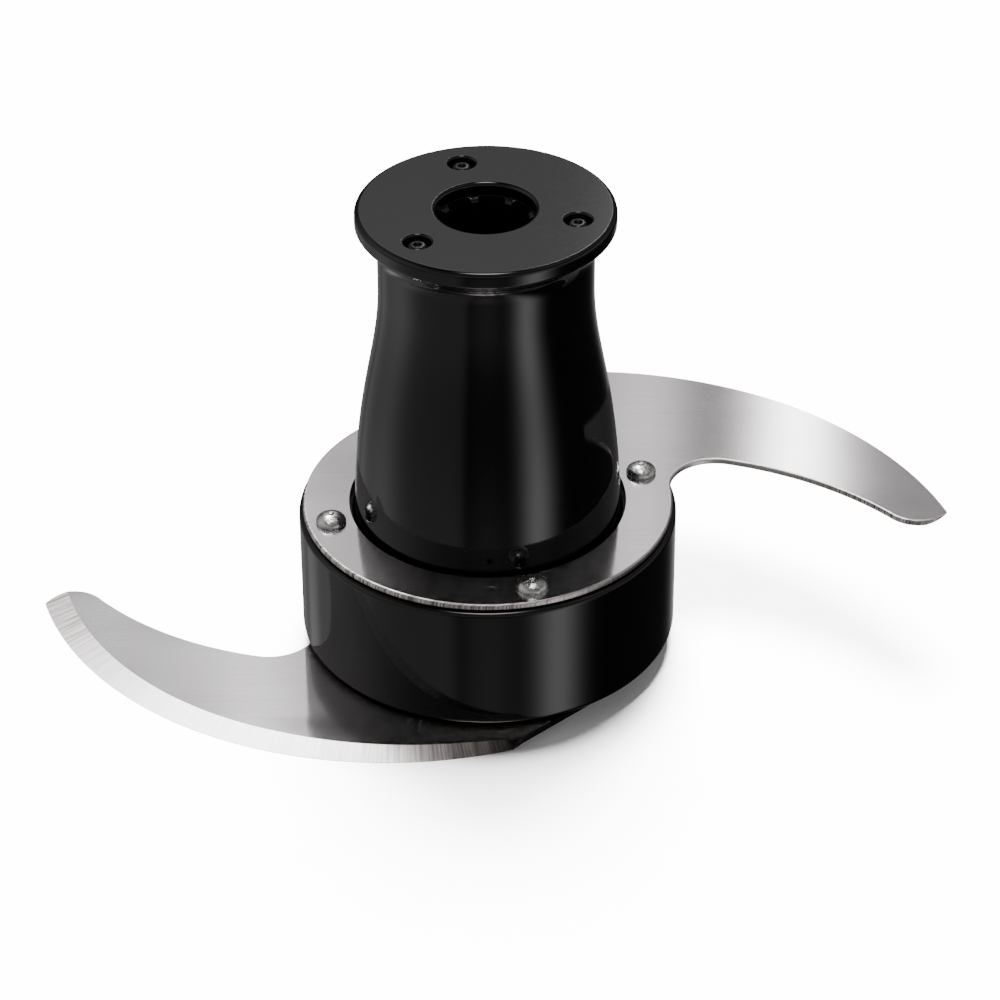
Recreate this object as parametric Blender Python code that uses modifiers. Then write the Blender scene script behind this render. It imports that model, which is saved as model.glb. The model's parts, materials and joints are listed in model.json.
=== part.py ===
"""Two-bladed chopping knife of a food processor, with the hub that turns it.

The origin is on the hub's axis, at the foot that the blade stands on. +Z is up the hub.
The lower blade reaches to -X and the upper blade to +X. Seen from above, the blade turns
anticlockwise, so that the rounded edge of each blade leads.
"""

from math import acos, atan2, cos, hypot, pi, radians, sin

import bmesh
import bpy

MM = 0.001
GAP = 0.3 * MM  # clearance between neighbouring pieces

# Heights above the foot
COLLAR_FOOT_Z = 4.2 * MM  # underside of the blade collar
COLLAR_HEIGHT = 26.4 * MM
CAP_TOP_Z = COLLAR_FOOT_Z + 93.2 * MM
CAP_THICKNESS = 3.5 * MM
SOCKET_FOOT_Z = COLLAR_FOOT_Z + 50.0 * MM

# Hub sleeve
NECK_R = 20.5 * MM
SLEEVE_R = 26.1 * MM
SLEEVE_WALL = 2.3 * MM
TAPER_TOP_Z = COLLAR_FOOT_Z + 77.2 * MM
TAPER_FOOT_Z = COLLAR_FOOT_Z + 21.8 * MM
TAPER_TOP_PULL = 16.3 * MM  # how far the taper's curve follows the neck
TAPER_FOOT_PULL = 32.4 * MM  # how far it follows the wide end
NECK_FLARE = 1.8 * MM
FOOT_FLANGE_R = 27.8 * MM
FOOT_FLANGE_HEIGHT = 2.6 * MM
BOSS_R = 2.7 * MM
BOSS_LENGTH = 16.0 * MM

# Cap and its screws
CAP_R = 24.6 * MM
CAP_EDGE = 1.0 * MM
BORE_R = 9.3 * MM
BORE_LIP = 0.6 * MM
SCREW_PITCH_R = 17.7 * MM
SCREW_ANGLES = (105.0, 225.0, 345.0)
SCREW_HEAD_R = 2.15 * MM
SCREW_SHANK_R = 0.95 * MM
SCREW_LENGTH = 15.0 * MM
RECESS_R = 2.55 * MM
RECESS_DEPTH = 2.2 * MM

# Drive socket
SOCKET_R = 13.6 * MM
SOCKET_FLANGE_R = 16.2 * MM
SOCKET_FLANGE = 2.0 * MM
RIB_COUNT = 8
RIB_PHASE = 14.5  # degrees, bearing of the first rib
RIB_ROOT_R = 9.4 * MM
RIB_TIP_R = 8.2 * MM
RIB_ROOT_WIDTH = 20.0  # degrees of the bore that a rib takes at its root
RIB_TIP_WIDTH = 9.0
BUSH_OUTER_R = 11.6 * MM
BUSH_INNER_R = 9.8 * MM
BUSH_HEIGHT = 6.0 * MM

# Blade collar
COLLAR_R = 37.0 * MM
COLLAR_BORE_R = SLEEVE_R + GAP
COLLAR_TOP_EDGE = 0.8 * MM
COLLAR_FOOT_EDGE = 1.4 * MM
SEAL_SECTION = 1.4 * MM

# Blades, drawn for the lower blade, whose arm points to -X
PLATE = 1.3 * MM
UPPER_RING_R = 36.2 * MM
LOWER_RING_R = 34.4 * MM
UPPER_HOLE_R = 27.05 * MM
LOWER_HOLE_R = 26.6 * MM
EDGE_CENTRE = (-19.0 * MM, 27.6 * MM)  # centre of the cutting edge's arc
EDGE_R = 73.8 * MM
EDGE_END_ANGLE = -71.2  # degrees, where the cutting edge stops and the ring's tangent starts
BACK_CENTRE = (-30.5 * MM, 49.0 * MM)  # centre of the hollow back edge's arc
BACK_R = 64.2 * MM
END_R = 7.0 * MM  # rounding of the arm's end, tangent to the back edge
END_REACH = 69.77 * MM  # from the centre of the cutting edge's arc to the rounding's centre
CORNER_R = 0.5 * MM  # where the rounded end meets the cutting edge
NOTCH_R = 9.2 * MM
GRIND_WIDTH = 4.9 * MM
EDGE_LAND = 0.12 * MM  # thickness left at the cutting edge
PEEP_HOLE_R = 0.9 * MM
PEEP_HOLE_PITCH_R = 30.9 * MM
PEEP_HOLE_ANGLE = 271.0

# Rivets and the spacer tubes round them
RIVET_PITCH_R = 31.5 * MM
RIVET_ANGLES = (15.5, 105.5, 195.5, 285.5)
RIVET_HEAD_R = 2.95 * MM
RIVET_HEAD_HEIGHT = 2.1 * MM
RIVET_SHANK_R = 1.45 * MM
RIVET_FOOT_R = 2.3 * MM
RIVET_FOOT_HEIGHT = 1.2 * MM
RIVET_HOLE_R = 1.8 * MM
SPACER_INNER_R = 1.75 * MM
SPACER_OUTER_R = 2.6 * MM

# Heights that follow
COLLAR_TOP_Z = COLLAR_FOOT_Z + COLLAR_HEIGHT
UPPER_PLATE_Z = COLLAR_TOP_Z + GAP
LOWER_PLATE_Z = COLLAR_FOOT_Z - GAP - PLATE
CAP_FOOT_Z = CAP_TOP_Z - CAP_THICKNESS
SLEEVE_TOP_Z = CAP_FOOT_Z - GAP
SOCKET_TOP_Z = CAP_FOOT_Z - GAP
BOSS_TOP_Z = SOCKET_TOP_Z - SOCKET_FLANGE - GAP
RECESS_FOOT_Z = CAP_TOP_Z - RECESS_DEPTH

ROUND_STEPS = 48
SMALL_STEPS = 12


def clear_scene():
    for item in list(bpy.data.objects):
        bpy.data.objects.remove(item)


def new_collection(name):
    collection = bpy.data.collections.new(name)
    bpy.context.scene.collection.children.link(collection)
    return collection


def finish(name, colour, roughness, metallic):
    material = bpy.data.materials.new(name)
    material.use_nodes = True
    shader = material.node_tree.nodes["Principled BSDF"]
    shader.inputs["Base Color"].default_value = (*colour, 1.0)
    shader.inputs["Roughness"].default_value = roughness
    shader.inputs["Metallic"].default_value = metallic
    return material


def polar(radius, degrees):
    return radius * cos(radians(degrees)), radius * sin(radians(degrees))


def arc(centre, radius, start, end, count):
    """Points on an arc from one angle to another, in degrees, both ends included."""
    points = []
    for i in range(count + 1):
        angle = start + (end - start) * i / count
        x, y = polar(radius, angle)
        points.append((centre[0] + x, centre[1] + y))
    return points


def bearing(centre, point):
    """Angle of a point seen from a centre, in degrees."""
    return atan2(point[1] - centre[1], point[0] - centre[0]) * 180.0 / pi


def meet(centre_a, radius_a, centre_b, radius_b, side):
    """Where two circles cross, on the left (1) or right (-1) of the line from a to b."""
    dx = centre_b[0] - centre_a[0]
    dy = centre_b[1] - centre_a[1]
    apart = hypot(dx, dy)
    along = (apart**2 + radius_a**2 - radius_b**2) / (2.0 * apart)
    across = side * (radius_a**2 - along**2) ** 0.5
    x = centre_a[0] + (along * dx - across * dy) / apart
    y = centre_a[1] + (along * dy + across * dx) / apart
    return x, y


def mesh_object(name, mesh, collection, material=None):
    item = bpy.data.objects.new(name, mesh)
    collection.objects.link(item)
    if material:
        mesh.materials.append(material)
    return item


def turned(name, profile, collection, material, steps=ROUND_STEPS):
    """A closed profile of (radius, height) points, outer side first, turned about Z."""
    on_axis = profile[0][0] == 0.0 and profile[-1][0] == 0.0
    edges = [(i, i + 1) for i in range(len(profile) - 1)]
    if not on_axis:
        edges.append((len(profile) - 1, 0))
    mesh = bpy.data.meshes.new(name)
    mesh.from_pydata([(r, 0.0, z) for r, z in profile], edges, [])
    item = mesh_object(name, mesh, collection, material)
    screw = item.modifiers.new("turn", "SCREW")
    screw.steps = steps
    screw.render_steps = steps
    screw.use_merge_vertices = True
    screw.merge_threshold = 0.00001
    screw.use_smooth_shade = True
    return item


def rod(name, radius, low, high, collection, steps=SMALL_STEPS):
    """A plain cylinder about Z."""
    mesh = bpy.data.meshes.new(name)
    shape = bmesh.new()
    bmesh.ops.create_cone(
        shape,
        cap_ends=True,
        segments=steps,
        radius1=radius,
        radius2=radius,
        depth=high - low,
    )
    bmesh.ops.translate(shape, verts=shape.verts, vec=(0.0, 0.0, (low + high) / 2.0))
    shape.to_mesh(mesh)
    shape.free()
    return mesh_object(name, mesh, collection)


def as_cutter(item):
    item.hide_render = True
    item.display_type = "WIRE"
    return item


def combine(item, tool, operation):
    step = item.modifiers.new(tool.name, "BOOLEAN")
    step.operation = operation
    step.solver = "EXACT"
    step.object = tool


def sheet(name, loops, thickness, collection):
    """A flat plate from closed outlines, the inner ones being holes, as a mesh."""
    outline = bpy.data.curves.new(name + "_outline", "CURVE")
    outline.dimensions = "2D"
    outline.fill_mode = "BOTH"
    outline.extrude = thickness / 2.0
    for loop in loops:
        spline = outline.splines.new("POLY")
        spline.points.add(len(loop) - 1)
        for point, (x, y) in zip(spline.points, loop):
            point.co = (x, y, 0.0, 1.0)
        spline.use_cyclic_u = True
    source = bpy.data.objects.new(name + "_outline", outline)
    collection.objects.link(source)
    bpy.context.view_layer.update()
    evaluated = source.evaluated_get(bpy.context.evaluated_depsgraph_get())
    mesh = bpy.data.meshes.new_from_object(evaluated)
    mesh.name = name
    shape = bmesh.new()
    shape.from_mesh(mesh)
    bmesh.ops.remove_doubles(shape, verts=shape.verts, dist=0.000001)
    bmesh.ops.recalc_face_normals(shape, faces=shape.faces)
    shape.to_mesh(mesh)
    shape.free()
    bpy.data.objects.remove(source)
    return mesh_object(name, mesh, collection)


def sleeve_radius(height):
    """Outer radius of the sleeve: neck, curved taper, wide end."""
    if height >= TAPER_TOP_Z:
        return NECK_R
    if height <= TAPER_FOOT_Z:
        return SLEEVE_R
    low, high = 0.0, 1.0
    for _ in range(40):
        middle = (low + high) / 2.0
        if taper_point(middle)[1] > height:
            low = middle
        else:
            high = middle
    return taper_point(low)[0]


def taper_point(t):
    """Radius and height on the taper's curve, from the neck (0) to the wide end (1)."""
    weights = ((1 - t) ** 3, 3 * t * (1 - t) ** 2, 3 * t * t * (1 - t), t**3)
    radii = (NECK_R, NECK_R, SLEEVE_R, SLEEVE_R)
    heights = (
        TAPER_TOP_Z,
        TAPER_TOP_Z - TAPER_TOP_PULL,
        TAPER_FOOT_Z + TAPER_FOOT_PULL,
        TAPER_FOOT_Z,
    )
    radius = sum(w * r for w, r in zip(weights, radii))
    height = sum(w * z for w, z in zip(weights, heights))
    return radius, height


def rounded_corner(centre, radius, start, end, count=4):
    """Profile points on a rounded corner, in degrees."""
    return arc(centre, radius, start, end, count)


def make_hub_sleeve(parts, cutters, plastic):
    outer = []
    flare_centre = (NECK_R + NECK_FLARE, SLEEVE_TOP_Z - 0.4 * MM - NECK_FLARE)
    outer.append((NECK_R + NECK_FLARE, SLEEVE_TOP_Z))
    outer += rounded_corner(flare_centre, NECK_FLARE, 90.0, 180.0, 4)
    outer += [taper_point(i / 8.0) for i in range(9)]
    flange_top = COLLAR_FOOT_Z + FOOT_FLANGE_HEIGHT
    outer += [
        (SLEEVE_R, flange_top),
        (FOOT_FLANGE_R, flange_top),
        (FOOT_FLANGE_R, COLLAR_FOOT_Z),
        (SLEEVE_R, COLLAR_FOOT_Z),
        (SLEEVE_R, 0.5 * MM),
        (SLEEVE_R - 0.5 * MM, 0.0),
    ]
    inner = [(SLEEVE_R - SLEEVE_WALL, 0.0), (SLEEVE_R - SLEEVE_WALL, TAPER_FOOT_Z)]
    for i in range(1, 6):
        height = TAPER_FOOT_Z + (TAPER_TOP_Z - TAPER_FOOT_Z) * i / 5.0
        inner.append((sleeve_radius(height) - SLEEVE_WALL, height))
    inner.append((NECK_R - SLEEVE_WALL, SLEEVE_TOP_Z))
    groove_r = NECK_R - 0.6 * MM
    groove_z = SLEEVE_TOP_Z - SEAL_SECTION * 0.5
    groove = [
        (groove_r, SLEEVE_TOP_Z),
        (groove_r, groove_z),
        (groove_r + SEAL_SECTION, groove_z),
        (groove_r + SEAL_SECTION, SLEEVE_TOP_Z),
    ]
    sleeve = turned("hub_sleeve", outer + inner + groove, parts, plastic)
    for number, angle in enumerate(SCREW_ANGLES, start=1):
        x, y = polar(SCREW_PITCH_R, angle)
        foot = BOSS_TOP_Z - BOSS_LENGTH
        boss = as_cutter(rod(f"boss_{number}", BOSS_R, foot, BOSS_TOP_Z, cutters))
        boss.location = (x, y, 0.0)
        combine(sleeve, boss, "UNION")
    for number, angle in enumerate(SCREW_ANGLES, start=1):
        x, y = polar(SCREW_PITCH_R, angle)
        low = BOSS_TOP_Z - BOSS_LENGTH + 2.0 * MM
        pilot = as_cutter(
            rod(f"pilot_{number}", SCREW_SHANK_R + GAP, low, CAP_TOP_Z, cutters)
        )
        pilot.location = (x, y, 0.0)
        combine(sleeve, pilot, "DIFFERENCE")


def make_hub_cap(parts, cutters, plastic):
    edge = CAP_EDGE
    rim = CAP_R - edge
    profile = [(BORE_R + BORE_LIP, CAP_TOP_Z)]
    profile += rounded_corner((rim, CAP_TOP_Z - edge), edge, 90.0, 0.0)
    profile += rounded_corner((rim, CAP_FOOT_Z + edge), edge, 0.0, -90.0)
    profile.append((BORE_R, CAP_FOOT_Z))
    lip_centre = (BORE_R + BORE_LIP, CAP_TOP_Z - BORE_LIP)
    profile += rounded_corner(lip_centre, BORE_LIP, 180.0, 90.0, 5)[:-1]
    cap = turned("hub_cap", profile, parts, plastic)
    for number, angle in enumerate(SCREW_ANGLES, start=1):
        x, y = polar(SCREW_PITCH_R, angle)
        recess = as_cutter(
            rod(f"recess_{number}", RECESS_R, RECESS_FOOT_Z, CAP_TOP_Z + MM, cutters, 20)
        )
        recess.location = (x, y, 0.0)
        combine(cap, recess, "DIFFERENCE")
        hole = as_cutter(
            rod(f"hole_{number}", SCREW_SHANK_R + GAP, BOSS_TOP_Z, CAP_TOP_Z, cutters)
        )
        hole.location = (x, y, 0.0)
        combine(cap, hole, "DIFFERENCE")


def make_cap_screws(parts, steel):
    head_foot = RECESS_FOOT_Z + GAP
    head_top = head_foot + 1.3 * MM
    profile = [
        (0.0, head_top - 0.45 * MM),
        (0.75 * MM, head_top - 0.45 * MM),
        (0.9 * MM, head_top),
        (1.4 * MM, head_top - 0.15 * MM),
        (1.9 * MM, head_top - 0.5 * MM),
        (SCREW_HEAD_R, head_foot + 0.4 * MM),
        (SCREW_HEAD_R, head_foot),
        (SCREW_SHANK_R, head_foot),
        (SCREW_SHANK_R, head_foot - SCREW_LENGTH),
        (0.0, head_foot - SCREW_LENGTH - 0.8 * MM),
    ]
    for number, angle in enumerate(SCREW_ANGLES, start=1):
        screw = turned(f"cap_screw_{number}", profile, parts, steel, SMALL_STEPS)
        screw.location = (*polar(SCREW_PITCH_R, angle), 0.0)


def make_drive_socket(parts, cutters, plastic):
    seat_r = BUSH_OUTER_R + GAP
    seat_z = SOCKET_FOOT_Z + BUSH_HEIGHT + 2.0 * GAP
    profile = [
        (SOCKET_FLANGE_R, SOCKET_TOP_Z),
        (SOCKET_FLANGE_R, SOCKET_TOP_Z - SOCKET_FLANGE),
        (SOCKET_R, SOCKET_TOP_Z - SOCKET_FLANGE),
        (SOCKET_R, SOCKET_FOOT_Z),
        (seat_r, SOCKET_FOOT_Z),
        (seat_r, seat_z),
        (RIB_TIP_R - MM, seat_z),
        (RIB_TIP_R - MM, SOCKET_TOP_Z),
    ]
    socket = turned("drive_socket", profile, parts, plastic)
    bore = []
    pitch = 360.0 / RIB_COUNT
    for rib in range(RIB_COUNT):
        middle = RIB_PHASE + rib * pitch
        half_tip = RIB_TIP_WIDTH / 2.0
        half_root = RIB_ROOT_WIDTH / 2.0
        bore += arc((0.0, 0.0), RIB_TIP_R, middle - half_tip, middle + half_tip, 2)
        start = middle + half_root
        bore += arc((0.0, 0.0), RIB_ROOT_R, start, middle + pitch - half_root, 3)
    length = SOCKET_TOP_Z - seat_z + 2.0 * MM
    broach = as_cutter(sheet("rib_broach", [bore], length, cutters))
    broach.location.z = (seat_z + SOCKET_TOP_Z) / 2.0
    combine(socket, broach, "DIFFERENCE")


def make_ring(name, inner, outer, low, high, edge, parts, material, steps=ROUND_STEPS):
    """A ring of nearly square section with its four corners taken off."""
    profile = [
        (inner + edge, high),
        (outer - edge, high),
        (outer, high - edge),
        (outer, low + edge),
        (outer - edge, low),
        (inner + edge, low),
        (inner, low + edge),
        (inner, high - edge),
    ]
    return turned(name, profile, parts, material, steps)


def make_rings(parts, steel, rubber):
    bush_top = SOCKET_FOOT_Z + GAP + BUSH_HEIGHT
    make_ring(
        "drive_bush",
        BUSH_INNER_R,
        BUSH_OUTER_R,
        bush_top - BUSH_HEIGHT,
        bush_top,
        0.3 * MM,
        parts,
        steel,
        48,
    )
    groove_r = NECK_R - 0.6 * MM
    make_ring(
        "neck_seal",
        groove_r + 0.2 * MM,
        groove_r + SEAL_SECTION - 0.2 * MM,
        SLEEVE_TOP_Z - 0.5 * MM,
        SLEEVE_TOP_Z + 0.1 * MM,
        0.15 * MM,
        parts,
        rubber,
        32,
    )
    make_ring(
        "sleeve_seal",
        SLEEVE_R + GAP,
        UPPER_HOLE_R + 0.5 * MM,
        COLLAR_TOP_Z - SEAL_SECTION,
        COLLAR_TOP_Z - 0.1 * MM,
        0.3 * MM,
        parts,
        rubber,
        32,
    )
    flange_top = COLLAR_FOOT_Z + FOOT_FLANGE_HEIGHT
    make_ring(
        "foot_seal",
        SLEEVE_R + GAP,
        FOOT_FLANGE_R - GAP,
        flange_top + GAP,
        flange_top + 1.3 * MM,
        0.3 * MM,
        parts,
        rubber,
        32,
    )


def make_blade_collar(parts, cutters, plastic):
    top = COLLAR_TOP_Z
    foot = COLLAR_FOOT_Z
    seat_r = FOOT_FLANGE_R + GAP
    seat_z = foot + FOOT_FLANGE_HEIGHT + 1.3 * MM + GAP
    seal_r = UPPER_HOLE_R + 0.5 * MM + GAP
    seal_z = top - SEAL_SECTION - GAP
    rim = COLLAR_R
    profile = [(seal_r, top)]
    top_edge = COLLAR_TOP_EDGE
    foot_edge = COLLAR_FOOT_EDGE
    profile += rounded_corner((rim - top_edge, top - top_edge), top_edge, 90.0, 0.0)
    profile += rounded_corner((rim - foot_edge, foot + foot_edge), foot_edge, 0.0, -90.0)
    profile += [
        (seat_r, foot),
        (seat_r, seat_z),
        (COLLAR_BORE_R, seat_z),
        (COLLAR_BORE_R, seal_z),
        (seal_r, seal_z),
    ]
    collar = turned("blade_collar", profile, parts, plastic)
    for number, angle in enumerate(RIVET_ANGLES, start=1):
        well = as_cutter(
            rod(f"well_{number}", SPACER_OUTER_R + GAP, foot - MM, top + MM, cutters)
        )
        well.location = (*polar(RIVET_PITCH_R, angle), 0.0)
        combine(collar, well, "DIFFERENCE")


def blade_outline(ring_r):
    """Outline of one blade and its ring, anticlockwise, with the arm towards -X.

    The cutting edge is one arc and the back edge a second, hollow one. The rounded end is
    tangent to the back edge and meets the cutting edge in a small rounded corner. The notch
    beside the ring is tangent to its neighbours. At its other end the cutting edge turns
    into a straight run that leaves the ring as a tangent.
    """
    centre = (0.0, 0.0)
    notch = meet(centre, ring_r + NOTCH_R, BACK_CENTRE, BACK_R - NOTCH_R, 1)
    end = meet(EDGE_CENTRE, END_REACH, BACK_CENTRE, BACK_R + END_R, 1)
    corner = meet(EDGE_CENTRE, EDGE_R - CORNER_R, end, END_R - CORNER_R, -1)
    end_x, end_y = polar(EDGE_R, EDGE_END_ANGLE)
    edge_end = (EDGE_CENTRE[0] + end_x, EDGE_CENTRE[1] + end_y)
    swing = acos(ring_r / hypot(*edge_end)) * 180.0 / pi
    tangent_angle = bearing(centre, edge_end) + swing
    notch_angle = bearing(centre, notch) % 360.0
    points = arc(centre, ring_r, tangent_angle, notch_angle, 36)
    notch_start = notch_angle - 180.0
    notch_end = bearing(BACK_CENTRE, notch)
    points += arc(notch, NOTCH_R, notch_start, notch_end, 8)[1:]
    end_bearing = bearing(BACK_CENTRE, end)
    points += arc(BACK_CENTRE, BACK_R, notch_end, end_bearing, 12)[1:]
    corner_bearing = bearing(end, corner) % 360.0
    points += arc(end, END_R, end_bearing + 180.0, corner_bearing, 6)[1:]
    edge_start = bearing(EDGE_CENTRE, corner) % 360.0
    points += arc(corner, CORNER_R, corner_bearing, edge_start, 3)[1:]
    edge_stop = EDGE_END_ANGLE % 360.0
    points += arc(EDGE_CENTRE, EDGE_R, edge_start, edge_stop, 32)[1:]
    return points


def make_blade(name, ring_r, hole_r, low, turn, grind_on_top, parts, cutters, steel):
    loops = [blade_outline(ring_r), arc((0.0, 0.0), hole_r, 0.0, 352.5, 47)]
    for angle in RIVET_ANGLES:
        centre = polar(RIVET_PITCH_R, angle)
        loops.append(arc(centre, RIVET_HOLE_R, 0.0, 330.0, 11))
    peep = polar(PEEP_HOLE_PITCH_R, PEEP_HOLE_ANGLE + turn)
    loops.append(arc(peep, PEEP_HOLE_R, 0.0, 315.0, 7))
    blade = sheet(name, loops, PLATE, parts)
    blade.data.materials.append(steel)
    blade.rotation_euler.z = radians(turn)
    blade.location.z = low + PLATE / 2.0
    slope = (PLATE - EDGE_LAND) / GRIND_WIDTH
    face = PLATE / 2.0
    above = 1.0 * MM
    beyond = 3.0 * MM
    wedge = [
        (EDGE_R - GRIND_WIDTH - above / slope, face + above),
        (EDGE_R + beyond, face + above),
        (EDGE_R + beyond, EDGE_LAND - face - beyond * slope),
    ]
    if not grind_on_top:
        wedge = [(r, -z) for r, z in reversed(wedge)]
    wheel = as_cutter(turned(name + "_wheel", wedge, cutters, None, 180))
    wheel.parent = blade
    wheel.location = (*EDGE_CENTRE, 0.0)
    combine(blade, wheel, "DIFFERENCE")


def make_rivets(parts, steel):
    head_foot = UPPER_PLATE_Z + PLATE + GAP
    head_top = head_foot + RIVET_HEAD_HEIGHT
    foot_top = LOWER_PLATE_Z - GAP
    dome = []
    for i in range(5):
        angle = radians(68.0 - 17.0 * i)
        radius = RIVET_HEAD_R * cos(angle)
        dome.append((radius, head_foot + 0.3 * MM + (RIVET_HEAD_HEIGHT - 0.5 * MM) * sin(angle)))
    profile = [(0.0, head_top), (0.55 * MM, head_top - 0.05 * MM)]
    profile += dome
    profile += [
        (RIVET_HEAD_R, head_foot),
        (RIVET_SHANK_R, head_foot),
        (RIVET_SHANK_R, foot_top),
        (RIVET_FOOT_R, foot_top),
        (RIVET_FOOT_R, foot_top - 0.7 * MM),
        (RIVET_FOOT_R - 0.7 * MM, foot_top - RIVET_FOOT_HEIGHT),
        (0.0, foot_top - RIVET_FOOT_HEIGHT),
    ]
    low = COLLAR_FOOT_Z
    for number, angle in enumerate(RIVET_ANGLES, start=1):
        place = (*polar(RIVET_PITCH_R, angle), 0.0)
        rivet = turned(f"rivet_{number}", profile, parts, steel, SMALL_STEPS)
        rivet.location = place
        spacer = make_ring(
            f"rivet_spacer_{number}",
            SPACER_INNER_R,
            SPACER_OUTER_R,
            low,
            COLLAR_TOP_Z,
            0.15 * MM,
            parts,
            steel,
            SMALL_STEPS,
        )
        spacer.location = place


def main():
    clear_scene()
    parts = new_collection("chopping_blade")
    cutters = new_collection("cutters")
    black = finish("black_plastic", (0.012, 0.011, 0.012), 0.12, 0.0)
    inner_black = finish("socket_plastic", (0.02, 0.02, 0.021), 0.35, 0.0)
    satin = finish("satin_steel", (0.62, 0.6, 0.6), 0.3, 1.0)
    polished = finish("polished_steel", (0.75, 0.75, 0.76), 0.12, 1.0)
    rubber = finish("black_rubber", (0.015, 0.015, 0.015), 0.6, 0.0)
    make_hub_sleeve(parts, cutters, black)
    make_hub_cap(parts, cutters, black)
    make_cap_screws(parts, inner_black)
    make_drive_socket(parts, cutters, inner_black)
    make_rings(parts, polished, rubber)
    make_blade_collar(parts, cutters, black)
    make_blade(
        "lower_blade",
        LOWER_RING_R,
        LOWER_HOLE_R,
        LOWER_PLATE_Z,
        0.0,
        True,
        parts,
        cutters,
        satin,
    )
    make_blade(
        "upper_blade",
        UPPER_RING_R,
        UPPER_HOLE_R,
        UPPER_PLATE_Z,
        180.0,
        False,
        parts,
        cutters,
        satin,
    )
    make_rivets(parts, polished)


main()
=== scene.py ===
import json
from math import acos, atan2, cos, hypot, pi, radians, sin

import bmesh
import bpy
import numpy as np
from mathutils import Matrix, Vector
from mathutils.geometry import tessellate_polygon

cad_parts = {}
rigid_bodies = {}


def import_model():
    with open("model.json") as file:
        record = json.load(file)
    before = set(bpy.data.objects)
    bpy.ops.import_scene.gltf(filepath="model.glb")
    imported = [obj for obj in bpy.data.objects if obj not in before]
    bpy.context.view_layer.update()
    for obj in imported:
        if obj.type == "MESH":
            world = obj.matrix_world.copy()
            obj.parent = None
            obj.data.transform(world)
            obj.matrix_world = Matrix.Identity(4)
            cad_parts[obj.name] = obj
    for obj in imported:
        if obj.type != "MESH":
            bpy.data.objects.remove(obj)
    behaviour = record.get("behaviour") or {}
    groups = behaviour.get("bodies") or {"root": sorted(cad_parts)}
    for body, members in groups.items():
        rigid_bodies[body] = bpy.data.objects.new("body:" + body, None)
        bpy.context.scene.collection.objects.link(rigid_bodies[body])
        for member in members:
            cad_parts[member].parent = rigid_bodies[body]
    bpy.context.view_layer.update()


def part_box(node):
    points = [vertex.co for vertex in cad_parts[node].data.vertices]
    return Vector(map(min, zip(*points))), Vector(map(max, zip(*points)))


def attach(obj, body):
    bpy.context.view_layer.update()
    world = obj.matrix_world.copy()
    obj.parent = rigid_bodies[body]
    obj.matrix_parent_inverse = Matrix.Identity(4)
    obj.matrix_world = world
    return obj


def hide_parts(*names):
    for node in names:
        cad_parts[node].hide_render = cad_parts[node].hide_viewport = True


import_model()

bl_info = {
    "name": "Chopping Knife Finish",
    "version": (1, 0, 0),
    "blender": (4, 5, 0),
    "location": "View3D > Sidebar > Chopping Knife",
    "description": "Fine surfaces, finishes and studio for a food processor's chopping knife",
    "category": "Object",
}

MM = 0.001
TAU = 2.0 * pi


def node_box(name):
    low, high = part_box(name)
    return np.array(low), np.array(high)


CAP_LOW, CAP_HIGH = node_box("hub_cap")
SLEEVE_LOW, SLEEVE_HIGH = node_box("hub_sleeve")
SOCKET_LOW, SOCKET_HIGH = node_box("drive_socket")
BUSH_LOW, BUSH_HIGH = node_box("drive_bush")
COLLAR_LOW, COLLAR_HIGH = node_box("blade_collar")
UPPER_LOW, UPPER_HIGH = node_box("upper_blade")
LOWER_LOW, LOWER_HIGH = node_box("lower_blade")


# ---------------------------------------------------------------- sizes and colours


def length(name, description, millimetres):
    """A length that a user may change, with its default in millimetres."""
    return bpy.props.FloatProperty(
        name=name, description=description, default=millimetres * MM, unit="LENGTH"
    )


def finish_colour(name, description, *rgb):
    """A base colour that a user may change."""
    return bpy.props.FloatVectorProperty(
        name=name,
        description=description,
        subtype="COLOR",
        size=4,
        min=0.0,
        max=1.0,
        default=(*rgb, 1.0),
    )


class KnifeSizes(bpy.types.PropertyGroup):
    """Sizes of the knife's pieces"""

    neck_radius: length("Neck radius", "Outer radius of the sleeve's narrow upper end", 20.5)
    sleeve_radius: length("Sleeve radius", "Outer radius of the sleeve's wide lower end", 26.1)
    sleeve_wall: length("Sleeve wall", "Thickness of the sleeve's wall", 2.3)
    taper_top: length(
        "Taper top", "Height above the collar's foot where the neck starts to widen", 77.2
    )
    taper_foot: length(
        "Taper foot", "Height above the collar's foot where the sleeve is at its widest", 21.8
    )
    cove_radius: length(
        "Cove radius", "Radius of the hollow curve between the neck and the cap", 6.4
    )
    bore_radius: length("Bore radius", "Radius of the hole through the cap", 9.25)
    bore_lip: length("Bore lip", "Radius of the rounded edge of the cap's hole", 0.85)
    cap_edge: length("Cap edge", "Radius of the rounding round the cap's rim", 1.0)
    screw_pitch: length(
        "Screw circle", "Radius of the circle that the cap screws stand on", 17.7
    )
    rivet_pitch: length("Rivet circle", "Radius of the circle that the rivets stand on", 31.5)
    rivet_head: length("Rivet head radius", "Radius of a rivet's domed head", 2.95)
    grind_width: length("Grind width", "Width of the ground face along a cutting edge", 4.9)
    plate_edge: length("Plate edge", "Radius of the rounding along the blades' edges", 0.45)
    edge_land: length("Edge land", "Thickness that grinding leaves at the cutting edge", 0.12)


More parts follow.
